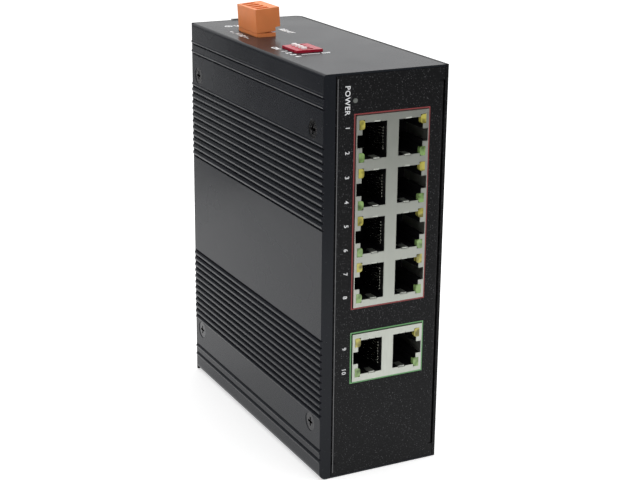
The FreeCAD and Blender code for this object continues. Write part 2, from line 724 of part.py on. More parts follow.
def make_shield(name, rows, height):
    """A folded sheet shield around the jack, with a profiled opening for every port."""
    half = jack_size(rows) / 2
    t = SHIELD_SHEET
    inside = (height - half + t, height + half - t)
    shell = cut(block((JACK_LEFT, JACK_RIGHT), (JACK_FACE, JACK_BACK), (height - half, height + half)),
                [block((JACK_LEFT + t, JACK_RIGHT - t), (JACK_FACE + t, JACK_BACK + EXTRA), inside)])
    notch_end = JACK_WIDTH / 2 - COLUMN_GAP / 2 - t
    face = (JACK_FACE - EXTRA, JACK_FACE + t)
    tools = []
    tabs = []
    for z in port_rows(rows, height):
        for edge, way in port_sides():
            tools.append(port_space(edge, way, z, face, notch_end))
            tools += [light_block(edge, way, place, face, LENS_PLAY)
                      for place, _, _ in light_places(z)]
            for side in (-1, 1):
                wall = z + side * PORT_WIDTH / 2
                slit = (TAB_START - TAB_SLIT, TAB_START + TAB_WIDTH + TAB_SLIT)
                tools.append(port_block(edge, way, slit, face,
                                        (wall, wall + side * (TAB_BEND - TAB_REACH))))
                tabs.append(spring_tab(edge, way, wall, side))
    save(name, joined([cut(shell, tools)] + tabs))


def make_port_module(name, height):
    """The moulded insulator of one row: two plug spaces back to back."""
    t = SHIELD_SHEET
    half = min(PORT_PITCH, JACK_END - 2 * t) / 2 - JACK_CLEARANCE / 4
    start = JACK_FACE + t
    tools = []
    inside = (start - EXTRA, start + CAVITY_LENGTH)
    for edge, way in port_sides():
        tools.append(port_space(edge, way, height, inside, JACK_WIDTH / 2))
        for place, _, _ in light_places(height):
            tools.append(light_block(edge, way, place, (start - EXTRA, start + LENS_DEPTH)))
            tools.append(stem_block(edge, way, place, (start, JACK_FACE + STEM_REACH)))
        for side in (-1, 1):
            wall = height + side * PORT_WIDTH / 2
            reach = (TAB_START - TAB_SLIT, TAB_START + TAB_WIDTH + TAB_SLIT)
            tools.append(port_block(edge, way, reach, (start - EXTRA, JACK_FACE + TAB_LENGTH),
                                    (wall - side * TAB_REACH, wall + side * TAB_ROOM)))
            tools.append(port_block(edge, way, reach, (start - EXTRA, JACK_FACE + TAB_BEND),
                                    (wall, wall + side * (TAB_BEND - TAB_REACH))))
    body = block((JACK_LEFT + t, JACK_RIGHT - t), (start, JACK_BACK - t),
                 (height - half, height + half))
    save(name, cut(body, tools))


def contact_wire(edge, way, z):
    """One spring contact: along the divider, round a loop near the mouth, and back at a slant."""
    sheet = CONTACT_SHEET
    turn = CONTACT_FRONT + 2 * sheet
    path = [(0, CONTACT_BACK), (0, CONTACT_FRONT + sheet), (sheet, CONTACT_FRONT),
            (CONTACT_LOOP, CONTACT_FRONT), (CONTACT_LIFT, CONTACT_TIP),
            (CONTACT_LIFT - sheet, CONTACT_TIP), (CONTACT_LOOP - sheet / 2, turn),
            (sheet, turn), (sheet, CONTACT_BACK)]
    points = [(edge + way * u, JACK_FACE + depth, z - CONTACT_WIDTH / 2) for u, depth in path]
    return polygon(points, point(0, 0, CONTACT_WIDTH))


def make_contacts(name, rows, height):
    wires = []
    for z in port_rows(rows, height):
        for edge, way in port_sides():
            for k in range(CONTACTS):
                offset = (k - (CONTACTS - 1) / 2) * CONTACT_PITCH
                wires.append(contact_wire(edge, way, z + offset))
    save_group(name, wires)


def all_port_rows():
    return port_rows(LARGE_JACK_ROWS, LARGE_JACK_HEIGHT) + port_rows(1, SMALL_JACK_HEIGHT)


def make_lights():
    found = {"yellow": [], "green": []}
    for height in all_port_rows():
        for edge, way in port_sides():
            for place, colour, _ in light_places(height):
                found[colour].append(port_light(edge, way, place))
    save_group("yellow_lights", found["yellow"])
    save_group("green_lights", found["green"])
    place = point(STATUS_X, FRONT - LENS_PROUD, STATUS_Z)
    lens = rod(STATUS_HOLE / 2, place, INWARD, PLATE_SHEET + LENS_PROUD)
    barrel = rod(STATUS_HOLE / 2 + STATUS_FLANGE, place + INWARD * (PLATE_SHEET + LENS_PROUD),
                 INWARD, STATUS_LENGTH)
    save("power_light", joined([lens, barrel]))


def make_jacks():
    make_shield("jack_shield_large", LARGE_JACK_ROWS, LARGE_JACK_HEIGHT)
    make_shield("jack_shield_small", 1, SMALL_JACK_HEIGHT)
    for index, height in enumerate(all_port_rows()):
        make_port_module("port_module_%d" % (index + 1), height)
    make_contacts("contacts_large", LARGE_JACK_ROWS, LARGE_JACK_HEIGHT)
    make_contacts("contacts_small", 1, SMALL_JACK_HEIGHT)
    make_lights()


# ---- boards and what they carry ------------------------------------------------
def make_boards():
    main = block((BOARD_LEFT, BOARD_LEFT + BOARD),
                 (FRONT + BOARD_FRONT_GAP, BACK - BOARD_BACK_GAP),
                 (FLOOR_WALL + BOARD_PLAY, CEILING - BOARD_PLAY))
    save("main_board", main)
    small = block((IO_BOARD_LEFT, IO_BOARD_RIGHT), (IO_BOARD_FRONT, IO_BOARD_BACK),
                  (IO_BOARD_BOTTOM, IO_BOARD_TOP))
    holes = [rod(BOARD_SCREW / 2, point(x, y, IO_BOARD_BOTTOM - EXTRA), UP, BOARD + 2 * EXTRA)
             for x, y in spacer_places()]
    save("io_board", cut(small, holes))
    rings = []
    screws = []
    for x, y in spacer_places():
        ring = rod(BOARD_SCREW, point(x, y, IO_BOARD_TOP), UP, IO_BOARD_DROP)
        bore = rod(BOARD_SCREW / 2, point(x, y, IO_BOARD_TOP - EXTRA), UP,
                   IO_BOARD_DROP + 2 * EXTRA)
        rings.append(cut(ring, [bore]))
        head = rod(BOARD_SCREW_HEAD / 2, point(x, y, IO_BOARD_BOTTOM - BOARD_SCREW_HEAD_HEIGHT),
                   UP, BOARD_SCREW_HEAD_HEIGHT)
        shank = rod(BOARD_SCREW / 2, point(x, y, IO_BOARD_BOTTOM), UP,
                    BOARD + IO_BOARD_DROP + BOARD_SCREW_BITE)
        screws.append(joined([head, shank]))
    save_group("board_spacers", rings)
    save_group("board_screws", screws)
    link_front = JACK_BACK + LINK_BEHIND
    link = block((BOARD_LEFT - LINK_DEPTH, BOARD_LEFT), (link_front, link_front + LINK_LENGTH),
                 (IO_BOARD_BOTTOM - LINK_HEIGHT, IO_BOARD_BOTTOM))
    save("board_link", link)


def make_components():
    front = JACK_BACK + TRANSFORMER_GAP
    parts = []
    for z in all_port_rows():
        parts.append(block((BOARD_LEFT - TRANSFORMER[0], BOARD_LEFT),
                           (front, front + TRANSFORMER[1]),
                           (z - TRANSFORMER[2] / 2, z + TRANSFORMER[2] / 2)))
    save_group("transformers", parts)
    chip_front = JACK_BACK + CHIP_BEHIND
    chip_bottom = MIDDLE + CHIP_RISE - CHIP[2] / 2
    y = (chip_front, chip_front + CHIP[1])
    save("switch_chip", block((BOARD_LEFT - CHIP[0], BOARD_LEFT), y,
                              (chip_bottom, chip_bottom + CHIP[2])))
    root = BOARD_LEFT - CHIP[0] - SINK_BASE
    pieces = [block((root, BOARD_LEFT - CHIP[0]), y, (chip_bottom, chip_bottom + CHIP[2]))]
    gap = (CHIP[2] - SINK_FIN) / (SINK_FINS - 1)
    for k in range(SINK_FINS):
        low = chip_bottom + gap * k
        pieces.append(block((root - SINK_HEIGHT, root), y, (low, low + SINK_FIN)))
    save("heat_sink", joined(pieces))
    cans = [rod(CAPACITOR_RADIUS,
                point(BOARD_LEFT, BACK - CAPACITOR_INSET, MIDDLE + CAPACITOR_RISE + CAPACITOR_PITCH * k),
                -ACROSS, CAPACITOR_HEIGHT) for k in range(CAPACITORS)]
    save_group("capacitors", cans)
    coil_back = BACK - INDUCTOR_INSET
    coil_top = MIDDLE - INDUCTOR_DROP
    save("power_inductor", block((BOARD_LEFT - INDUCTOR[0], BOARD_LEFT),
                                 (coil_back - INDUCTOR[1], coil_back),
                                 (coil_top - INDUCTOR[2], coil_top)))


# ---- power terminal ------------------------------------------------------------
def pole_centres():
    start = TERMINAL_Y + POLE_END + POLE_PITCH / 2
    return [start + POLE_PITCH * k for k in range(POLES)]


def make_header(x, y, rim, pin_x):
    """A walled header on the small board, narrower on one side below its rim, and its pins."""
    wall = HEADER_WALL
    floor = IO_BOARD_TOP + HEADER_FLOOR
    cavity = block((x[0] + HEADER_UNDERCUT + wall, x[1] - wall), (y[0] + wall, y[1] - wall),
                   (floor, rim + EXTRA))
    step = block((x[0] - EXTRA, x[0] + HEADER_UNDERCUT), (y[0] - EXTRA, y[1] + EXTRA),
                 (IO_BOARD_TOP - EXTRA, HEIGHT + RIM_GAP))
    pins = [block((pin_x - PIN / 2, pin_x + PIN / 2), (yc - PIN / 2, yc + PIN / 2),
                  (IO_BOARD_TOP, rim - PIN_DROP)) for yc in pole_centres()]
    save_group("header_pins", pins)
    save("terminal_header", cut(block(x, y, (IO_BOARD_TOP, rim)), [cavity, step] + pins))


def lean(shape, x, z):
    """Tip a piece of the plug about the line where it sits on the header."""
    tipped = shape.copy()
    tipped.rotate(point(x, 0, z), INWARD, -PLUG_LEAN)
    return tipped


def make_plug(x, y, seat, pin_x):
    """The screw plug: it leans a little in its header, as far as its play lets it."""
    wall = HEADER_WALL
    nose_left = x[0] + HEADER_UNDERCUT + wall + PLUG_PLAY
    nose = block((nose_left, x[1] - wall - PLUG_PLAY),
                 (y[0] + wall + PLUG_PLAY, y[1] - wall - PLUG_PLAY), (seat - NOSE_DEPTH, seat))
    lower = block(x, y, (seat, seat + PLUG_STEP))
    top = seat + PLUG_HEIGHT
    upper = block((x[0], x[0] + PLUG_WIDTH), y, (seat + PLUG_STEP, top))
    slots = []
    clamps = []
    screws = []
    slot_x = (x[0] + WIRE_SLOT_INSET, x[0] + WIRE_SLOT_INSET + WIRE_SLOT_WIDTH)
    floor = top - WIRE_SLOT_DEPTH
    wall = CLAMP_WALL
    hole = CLAMP_SCREW / 2 + CLAMP_SCREW_PLAY
    for yc in pole_centres():
        slot_y = (yc - WIRE_SLOT_LENGTH / 2, yc + WIRE_SLOT_LENGTH / 2)
        slots.append(block(slot_x, slot_y, (floor, top + EXTRA)))
        slots.append(block((pin_x - PIN, pin_x + PIN), (yc - PIN, yc + PIN),
                           (seat - NOSE_DEPTH - EXTRA, seat + PIN_ROOM)))
        well = block((slot_x[0] + wall, slot_x[1] - wall), (slot_y[0] + wall, slot_y[1] - wall),
                     (floor + wall, floor + CLAMP_HEIGHT + EXTRA))
        clamps.append(cut(block(slot_x, slot_y, (floor, floor + CLAMP_HEIGHT)), [well]))
        start = point(x[0] + PLUG_WIDTH - CLAMP_SCREW_SINK - CLAMP_SCREW_LENGTH, yc,
                      seat + PLUG_HEIGHT / 2)
        slots.append(rod(hole, start, ACROSS, CLAMP_SCREW_LENGTH + CLAMP_SCREW_SINK + EXTRA))
        blade = block((start.x + CLAMP_SCREW_LENGTH / 2, start.x + CLAMP_SCREW_LENGTH + EXTRA),
                      (yc - CLAMP_BLADE / 2, yc + CLAMP_BLADE / 2),
                      (start.z - CLAMP_SCREW, start.z + CLAMP_SCREW))
        screws.append(cut(rod(CLAMP_SCREW / 2, start, ACROSS, CLAMP_SCREW_LENGTH), [blade]))
    plug = cut(joined([nose, lower, upper]), slots)
    save("terminal_plug", lean(plug, x[0], seat))
    save_group("plug_clamps", [lean(clamp, x[0], seat) for clamp in clamps])
    save_group("plug_screws", [lean(screw, x[0], seat) for screw in screws])


def make_terminal():
    x, y = terminal_bounds()
    rim = HEIGHT + HEADER_RIM
    pin_x = (x[0] + HEADER_UNDERCUT + x[1]) / 2
    make_header(x, y, rim, pin_x)
    make_plug(x, y, rim + PLUG_REST, pin_x)


# ---- four-way switch -----------------------------------------------------------
def way_centres():
    middle = FRONT + DIP_FRONT + DIP_LENGTH / 2
    return [middle + (k - (WAYS - 1) / 2) * WAY_PITCH for k in range(WAYS)]


def make_dip_switch():
    x, y = dip_bounds()
    top = HEIGHT + DIP_RISE
    body = block(x, y, (IO_BOARD_TOP, top))
    middle = (x[0] + x[1]) / 2
    reach = (KEY_LENGTH + KEY_TRAVEL) / 2 + DIP_PLAY
    half = KEY_WIDTH / 2 + DIP_PLAY
    pockets = [block((middle - reach, middle + reach), (yc - half, yc + half),
                     (top - KEY_POCKET, top + EXTRA)) for yc in way_centres()]
    save("dip_base", cut(body, pockets))
    start = middle - (KEY_LENGTH + KEY_TRAVEL) / 2
    key_top = top + KEY_RISE
    for index, yc in enumerate(way_centres()):
        key = block((start, start + KEY_LENGTH), (yc - KEY_WIDTH / 2, yc + KEY_WIDTH / 2),
                    (top - KEY_POCKET + DIP_PLAY, key_top))
        rounded = [e for e in key.Edges if all(abs(v.Z - key_top) < 1e-6 for v in e.Vertexes)]
        save("dip_key_%d" % (index + 1), key.makeFillet(KEY_ROUNDING, rounded))


# ---- rail bracket, latch and spring --------------------------------------------
def bracket_screw_places():
    zs = (BRACKET_BOTTOM + BRACKET_SCREW_INSET, BRACKET_TOP - BRACKET_SCREW_INSET)
    return [(x, z) for x in (-BRACKET_SCREW_X, BRACKET_SCREW_X) for z in zs]


def bracket_hooks():
    """Two hooks that hang over the rail's upper edge."""
    hooks = []
    lip = (HOOK_FACE, HOOK_FACE + BRACKET_SHEET)
    for side in (-1, 1):
        outer = BRACKET_HALF - HOOK_INSET
        xs = sorted((side * outer, side * (outer - HOOK_WIDTH)))
        hooks.append(block(xs, (BRACKET_BACK - BRACKET_SHEET / 2, lip[1]),
                           (RAIL_TOP, RAIL_TOP + BRACKET_SHEET)))
        hooks.append(block(xs, lip, (RAIL_TOP - HOOK_BITE, RAIL_TOP + BRACKET_SHEET)))
    return hooks


def latch_guides():
    """Two folded guides on either side of the latch."""
    guides = []
    z = (BRACKET_BOTTOM, LATCH_TOP - GUIDE_DROP)
    lip_front = LATCH_FACE + LATCH_THICKNESS + LATCH_PLAY
    back = lip_front + GUIDE_SHEET
    for side in (-1, 1):
        wall = sorted((side * GUIDE_INSIDE, side * (GUIDE_INSIDE + GUIDE_SHEET)))
        lip = sorted((side * (GUIDE_INSIDE - GUIDE_LIP), side * (GUIDE_INSIDE + GUIDE_SHEET)))
        guides.append(block(wall, (BRACKET_BACK - BRACKET_SHEET / 2, back), z))
        guides.append(block(lip, (lip_front, back), z))
    return guides


def make_bracket():
    y = (COVER_BACK, BRACKET_BACK)
    plate = block((-BRACKET_HALF, BRACKET_HALF), y, (BRACKET_BOTTOM, BRACKET_TOP))
    tongue = block((-TONGUE_WIDTH / 2, TONGUE_WIDTH / 2), y,
                   (BRACKET_TOP - BRACKET_SHEET, HEIGHT + TONGUE_RISE))
    peg = block((-SPRING_RADIUS, SPRING_RADIUS),
                (BRACKET_BACK - BRACKET_SHEET / 2, LATCH_FACE + 2 * SPRING_RADIUS + SPRING_WIRE),
                (SPRING_Z, SPRING_Z + SPRING_SEAT))
    holes = [rod(SCREW_HOLE / 2, point(x, COVER_BACK - EXTRA, z), INWARD, BRACKET_SHEET + 2 * EXTRA)
             for x, z in bracket_screw_places()]
    save("din_bracket", cut(joined([plate, tongue, peg] + bracket_hooks() + latch_guides()), holes))
    screws = [pan_screw(point(x, BRACKET_BACK, z), -INWARD, BRACKET_SCREW_LENGTH)
              for x, z in bracket_screw_places()]
    save_group("bracket_screws", screws)
    nuts = []
    base = COVER_BACK - COVER_SHEET - NUT_HEIGHT
    radius = NUT_WIDTH / math.sqrt(3)
    for x, z in bracket_screw_places():
        turns = [math.radians(60 * k) for k in range(6)]
        corners = [(x + radius * math.cos(a), base, z + radius * math.sin(a)) for a in turns]
        bore = rod(SCREW_SHANK / 2, point(x, base - EXTRA, z), INWARD, NUT_HEIGHT + 2 * EXTRA)
        nuts.append(cut(polygon(corners, point(0, NUT_HEIGHT, 0)), [bore]))
    save_group("bracket_nuts", nuts)


def make_latch():
    y = (LATCH_FACE, LATCH_FACE + LATCH_THICKNESS)
    half = LATCH_WIDTH / 2
    body = block((-half, half), y, (BRACKET_BOTTOM - LATCH_TRAVEL, LATCH_TOP))
    nose_top = LATCH_TOP + RAIL_PLAY + HOOK_BITE
    root = LATCH_TOP - NOSE_OVERLAP
    tip = HOOK_FACE + BRACKET_SHEET
    nose = polygon([(-half, HOOK_FACE, root), (-half, HOOK_FACE, nose_top),
                    (-half, tip - NOSE_CHAMFER, nose_top), (-half, tip + NOSE_ROOT, root)],
                   point(LATCH_WIDTH, 0, 0))
    tail = block((-TAIL_WIDTH / 2, TAIL_WIDTH / 2), y, (LATCH_BOTTOM, BRACKET_BOTTOM))
    slot_low = LATCH_BOTTOM + TAIL_SLOT_INSET
    slot = block((-TAIL_SLOT_WIDTH / 2, TAIL_SLOT_WIDTH / 2), (y[0] - EXTRA, y[1] + EXTRA),
                 (slot_low, slot_low + TAIL_SLOT_HEIGHT))
    reach = SPRING_RADIUS + SPRING_WIRE / 2 + LATCH_PLAY
    pocket = block((-reach, reach),
                   (y[0] - EXTRA, y[0] + 2 * SPRING_RADIUS + SPRING_WIRE + LATCH_PLAY),
                   (SPRING_Z - LATCH_PLAY, SPRING_Z + SPRING_SEAT + SPRING_LENGTH))
    save("din_latch", cut(joined([body, nose, tail]), [slot, pocket]))

    centre = point(0, y[0] + SPRING_RADIUS + SPRING_WIRE / 2,
                   SPRING_Z + SPRING_SEAT + SPRING_WIRE / 2)
    free = SPRING_LENGTH - SPRING_WIRE
    helix = Part.makeHelix(free / SPRING_TURNS, free, SPRING_RADIUS)
    ring = Part.Wire(Part.makeCircle(SPRING_WIRE / 2, point(SPRING_RADIUS, 0, 0), INWARD))
    coil = Part.Wire(helix).makePipeShell([ring], True, True)
    coil.translate(centre)
    save("latch_spring", coil)


def main():
    os.makedirs("parts", exist_ok=True)
    make_body()
    make_front_plate()
    make_cover()
    make_screws()
    make_jacks()
    make_boards()
    make_components()
    make_terminal()
    make_dip_switch()
    make_bracket()
    make_latch()


main()
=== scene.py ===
"""Looks of a ten-port network switch for a rail, laid out as a Blender add-on."""

import math

import bmesh
import bpy
from bpy.props import FloatProperty, FloatVectorProperty, PointerProperty
from mathutils import Matrix, Vector


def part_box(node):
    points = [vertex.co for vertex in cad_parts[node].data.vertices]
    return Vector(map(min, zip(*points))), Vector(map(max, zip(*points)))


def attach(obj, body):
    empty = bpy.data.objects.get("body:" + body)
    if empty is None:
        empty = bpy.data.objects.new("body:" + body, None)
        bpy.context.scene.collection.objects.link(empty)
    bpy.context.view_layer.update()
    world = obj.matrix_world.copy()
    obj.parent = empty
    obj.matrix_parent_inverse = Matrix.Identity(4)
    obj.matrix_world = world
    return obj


bl_info = {
    "name": "Rail Switch Looks",
    "version": (1, 0, 0),
    "blender": (4, 5, 0),
    "location": "View3D > Sidebar > Switch",
    "description": "Finishes, printed legends and stage of a ten-port rail switch",
    "category": "Object",
}

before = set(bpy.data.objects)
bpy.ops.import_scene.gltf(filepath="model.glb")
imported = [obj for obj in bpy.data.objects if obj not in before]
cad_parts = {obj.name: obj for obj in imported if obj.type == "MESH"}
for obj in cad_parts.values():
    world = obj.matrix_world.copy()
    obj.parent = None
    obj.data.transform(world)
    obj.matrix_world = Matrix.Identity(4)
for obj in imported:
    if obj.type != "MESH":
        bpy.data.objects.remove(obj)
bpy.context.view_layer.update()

MM = 0.001
CASE = "switch"                  # the body that everything fixed rides on
CAPITAL_SHARE = 0.7              # height of capitals for each unit of the font's size
LETTER_SPACING = 1.12            # of printed text, against the font's own
PORT_SHELLS = ("port_module_1", "port_module_2", "port_module_3", "port_module_4", "port_module_5")
KEYS = ("dip_key_1", "dip_key_2", "dip_key_3", "dip_key_4")


def corners(node):
    low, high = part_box(node)
    return Vector(low), Vector(high)


PLATE_LOW, PLATE_HIGH = corners("front_plate")
CASE_LOW, CASE_HIGH = corners("body_extrusion")


# ---- settings -------------------------------------------------------------------
def colour(name, description, default):
    return FloatVectorProperty(name=name, description=description, subtype="COLOR",
                               size=3, min=0.0, max=1.0, default=default)


def length(name, description, default):
    return FloatProperty(name=name, description=description, unit="LENGTH",
                         subtype="DISTANCE", min=0.0, default=default)


def share(name, description, default):
    return FloatProperty(name=name, description=description, subtype="FACTOR",
                         min=0.0, max=1.0, default=default)


class CaseSettings(bpy.types.PropertyGroup):
    coat: colour("Body coat", "Colour of the ribbed body's coat", (0.0165, 0.0182, 0.0222))
    plate: colour("Plate coat", "Colour of the front plate's coat", (0.0054, 0.0056, 0.0064))
    speck: colour("Coat specks", "Colour of the light specks in the coat", (0.085, 0.085, 0.09))
    # Colour of a painted highlight line down the front plate's left side, where the plate's rim
    # catches light.
    edge: colour("Plate edge", "Colour of the plate's thinly coated edge", (0.2, 0.2, 0.205))
    gloss: share("Body roughness", "Roughness of the ribbed body's coat", 0.25)
    shine: share("Body shine", "Specular level of the ribbed body's coat", 0.12)
    plate_gloss: share("Plate roughness", "Roughness of the front plate's coat", 0.5)
    plate_shine: share("Plate shine", "Specular level of the front plate's coat", 0.16)
    screw: colour("Screws", "Colour of the blackened screws", (0.035, 0.035, 0.037))


class JackSettings(bpy.types.PropertyGroup):
    shield: colour("Shields", "Colour of the plated jack shields", (0.5, 0.52, 0.47))
    inside: colour("Insulators", "Colour of the moulded jack insides", (0.004, 0.004, 0.0045))
    contact: colour("Contacts", "Colour of the plated contacts", (0.85, 0.83, 0.76))
    status: colour("Status light", "Colour of the status light's lens", (0.16, 0.17, 0.16))
    yellow: colour("Yellow lights", "Colour of the yellow port lights", (0.5, 0.45, 0.1))
    green: colour("Green lights", "Colour of the green port lights", (0.27, 0.42, 0.15))


class TopSettings(bpy.types.PropertyGroup):
    orange: colour("Terminal", "Colour of the terminal's plastic", (0.9, 0.28, 0.085))
    red: colour("Slide switch", "Colour of the slide switch's body", (0.46, 0.003, 0.028))
    key: colour("Actuators", "Colour of the slide switch's actuators", (0.95, 0.95, 0.94))
    tin: colour("Clamps", "Colour of the tinned clamps, clamp screws and pins", (0.66, 0.65, 0.62))


class LegendSettings(bpy.types.PropertyGroup):
    ink: colour("Ink", "Colour of the printed numbers and marks", (0.85, 0.86, 0.87))
    red_line: colour("Red frame", "Colour of the large jack block's frame", (0.3, 0.05, 0.05))
    green_line: colour("Green frame", "Colour of the small jack block's frame", (0.16, 0.4, 0.16))
    number: length("Number height", "Height of the port numbers", 1.5 * MM)
    supply: length("Supply mark height", "Height of the supply mark", 1.8 * MM)
    small: length("Small mark height", "Height of the marks on the top face", 2.0 * MM)
    bold: share("Top mark weight", "Share of their height that thickens the top marks", 0.075)
    line: length("Frame line", "Width of the frame lines", 0.45 * MM)
    line_gap: length("Frame gap", "From a jack block to the middle of its frame line", 0.45 * MM)
    ink_depth: length("Ink thickness", "Thickness of the printed ink", 0.03 * MM)


class BackSettings(bpy.types.PropertyGroup):
    zinc: colour("Bracket", "Colour of the zinc-plated rail bracket", (0.5, 0.5, 0.49))
    latch: colour("Latch", "Colour of the rail latch", (0.02, 0.02, 0.022))
    board: colour("Boards", "Colour of the boards' solder mask", (0.01, 0.11, 0.04))
    parts: colour("Parts", "Colour of the dark parts on the boards", (0.02, 0.02, 0.021))
    bare: colour("Bare metal", "Colour of the heat sink and the capacitors", (0.72, 0.72, 0.73))


class StageSettings(bpy.types.PropertyGroup):
    floor: colour("Floor", "Colour of the floor", (0.86, 0.86, 0.86))
    key_light: FloatProperty(name="Top light", description="Power of the large top light",
                             unit="POWER", min=0.0, default=4.0)
    side_light: FloatProperty(name="Side light", description="Power of the large left light",
                              unit="POWER", min=0.0, default=1.0)
    sky: FloatProperty(name="Surroundings", description="Strength of the pale surroundings",
                       min=0.0, default=0.66)
    card: colour("Dark cards", "Colour of the cards that darken reflections at the front and left",
                 (0.02, 0.02, 0.021))


GROUPS = {"case": CaseSettings, "jacks": JackSettings, "top": TopSettings,
          "legends": LegendSettings, "back": BackSettings, "stage": StageSettings}


def settings(name):
    return getattr(bpy.context.scene.switch_looks, name)


class SwitchLooks(bpy.types.PropertyGroup):
    case: PointerProperty(type=CaseSettings, name="Case", description="Case finishes")
    jacks: PointerProperty(type=JackSettings, name="Jacks", description="Jack finishes")
    top: PointerProperty(type=TopSettings, name="Top", description="Finishes of what is on top")
    legends: PointerProperty(type=LegendSettings, name="Legends", description="Printed legends")
    back: PointerProperty(type=BackSettings, name="Back", description="Back and inside finishes")
    stage: PointerProperty(type=StageSettings, name="Stage", description="Floor and lights")


# ---- shared effects -------------------------------------------------------------
def new_group(name, inputs, outputs):
    """An empty shader node group with named float or colour sockets."""
    group = bpy.data.node_groups.new(name, "ShaderNodeTree")
    for label, kind, value in inputs:
        socket = group.interface.new_socket(name=label, in_out="INPUT", socket_type=kind)
        if value is not None:
            socket.default_value = value
    for label, kind in outputs:
        group.interface.new_socket(name=label, in_out="OUTPUT", socket_type=kind)
    start = group.nodes.new("NodeGroupInput")
    end = group.nodes.new("NodeGroupOutput")
    return group, start, end


def noise(nodes, links, vector, scale, detail, roughness):
    node = nodes.new("ShaderNodeTexNoise")
    node.inputs["Detail"].default_value = detail
    node.inputs["Roughness"].default_value = roughness
    links.new(vector, node.inputs["Vector"])
    if isinstance(scale, (int, float)):
        node.inputs["Scale"].default_value = scale
    else:
        links.new(scale, node.inputs["Scale"])
    return node.outputs["Fac"]


def span(nodes, links, value, low, high, out_low, out_high):
    node = nodes.new("ShaderNodeMapRange")
    links.new(value, node.inputs["Value"])
    ends = (("From Min", low), ("From Max", high), ("To Min", out_low), ("To Max", out_high))
    for label, end in ends:
        if isinstance(end, (int, float)):
            node.inputs[label].default_value = end
        else:
            links.new(end, node.inputs[label])
    return node.outputs["Result"]


def blend(nodes, links, factor, first, second):
    """Mixes two colours; either may be a plain colour or a socket."""
    node = nodes.new("ShaderNodeMix")
    node.data_type = "RGBA"
    links.new(factor, node.inputs["Factor"])
    colour_in = [s for s in node.inputs if s.type == "RGBA"]
    for socket, value in zip(colour_in, (first, second)):
        if isinstance(value, bpy.types.NodeSocket):
            links.new(value, socket)
        else:
            socket.default_value = (*value, 1.0)
    return [s for s in node.outputs if s.type == "RGBA"][0]


def powder_group():
    """Powder coat: a fine orange-peel height, scattered light specks and a slow cloudiness."""
    group, start, end = new_group(
        "Powder Coat",
        [("Vector", "NodeSocketVector", None), ("Grain", "NodeSocketFloat", 1600.0),
         ("Speck Size", "NodeSocketFloat", 2400.0), ("Speck Start", "NodeSocketFloat", 0.64)],
        [("Height", "NodeSocketFloat"), ("Specks", "NodeSocketFloat"),
         ("Cloud", "NodeSocketFloat")])
    nodes, links = group.nodes, group.links
    height = noise(nodes, links, start.outputs["Vector"], start.outputs["Grain"], 2.0, 0.6)
    specks = noise(nodes, links, start.outputs["Vector"], start.outputs["Speck Size"], 1.0, 0.5)
    top = nodes.new("ShaderNodeMath")
    top.operation = "ADD"
    top.inputs[1].default_value = 0.1
    links.new(start.outputs["Speck Start"], top.inputs[0])
    mask = span(nodes, links, specks, start.outputs["Speck Start"], top.outputs[0], 0.0, 1.0)
    cloud = noise(nodes, links, start.outputs["Vector"], 28.0, 3.0, 0.5)
    links.new(height, end.inputs["Height"])
    links.new(mask, end.inputs["Specks"])
    links.new(cloud, end.inputs["Cloud"])
    return group


def drawn_group():
    """Lines left by drawing or brushing, long in one direction, with a slow unevenness."""
    group, start, end = new_group(
        "Drawn Metal",
        [("Vector", "NodeSocketVector", None), ("Stretch", "NodeSocketVector", (1.0, 1.0, 1.0)),
         ("Fineness", "NodeSocketFloat", 900.0)],
        [("Lines", "NodeSocketFloat"), ("Cloud", "NodeSocketFloat")])
    nodes, links = group.nodes, group.links
    scaled = nodes.new("ShaderNodeVectorMath")
    scaled.operation = "MULTIPLY"
    links.new(start.outputs["Vector"], scaled.inputs[0])
    links.new(start.outputs["Stretch"], scaled.inputs[1])
    lines = noise(nodes, links, scaled.outputs["Vector"], start.outputs["Fineness"], 3.0, 0.65)
    cloud = noise(nodes, links, start.outputs["Vector"], 60.0, 2.0, 0.5)
    links.new(lines, end.inputs["Lines"])
    links.new(cloud, end.inputs["Cloud"])
    return group


def mould_group():
    """Moulded plastic: a faint spark-eroded grain and slow flow shading."""
    group, start, end = new_group(
        "Moulded Plastic",
        [("Vector", "NodeSocketVector", None), ("Grain", "NodeSocketFloat", 5000.0)],
        [("Height", "NodeSocketFloat"), ("Flow", "NodeSocketFloat")])
    nodes, links = group.nodes, group.links
    height = noise(nodes, links, start.outputs["Vector"], start.outputs["Grain"], 1.0, 0.5)
    flow = noise(nodes, links, start.outputs["Vector"], 180.0, 2.0, 0.5)
    links.new(height, end.inputs["Height"])
    links.new(flow, end.inputs["Flow"])
    return group


SHARED = {}


def shared(name):
    makers = {"powder": powder_group, "drawn": drawn_group, "mould": mould_group}
    if name not in SHARED:
        SHARED[name] = makers[name]()
    return SHARED[name]


# ---- materials ------------------------------------------------------------------
def start_material(name, group_name):
    """A material with its shader, object coordinates and one shared effect in place."""
    material = bpy.data.materials.new(name)
    material.use_nodes = True
    nodes, links = material.node_tree.nodes, material.node_tree.links
    shader = nodes["Principled BSDF"]
    where = nodes.new("ShaderNodeTexCoord")
    effect = nodes.new("ShaderNodeGroup")
    effect.node_tree = shared(group_name)
    links.new(where.outputs["Object"], effect.inputs["Vector"])
    return material, nodes, links, shader, effect


def bump(nodes, links, shader, height, depth):
    node = nodes.new("ShaderNodeBump")
    node.inputs["Distance"].default_value = depth
    links.new(height, node.inputs["Height"])
    links.new(node.outputs["Normal"], shader.inputs["Normal"])


def tinted(base, factor):
    return tuple(min(1.0, channel * factor) for channel in base)


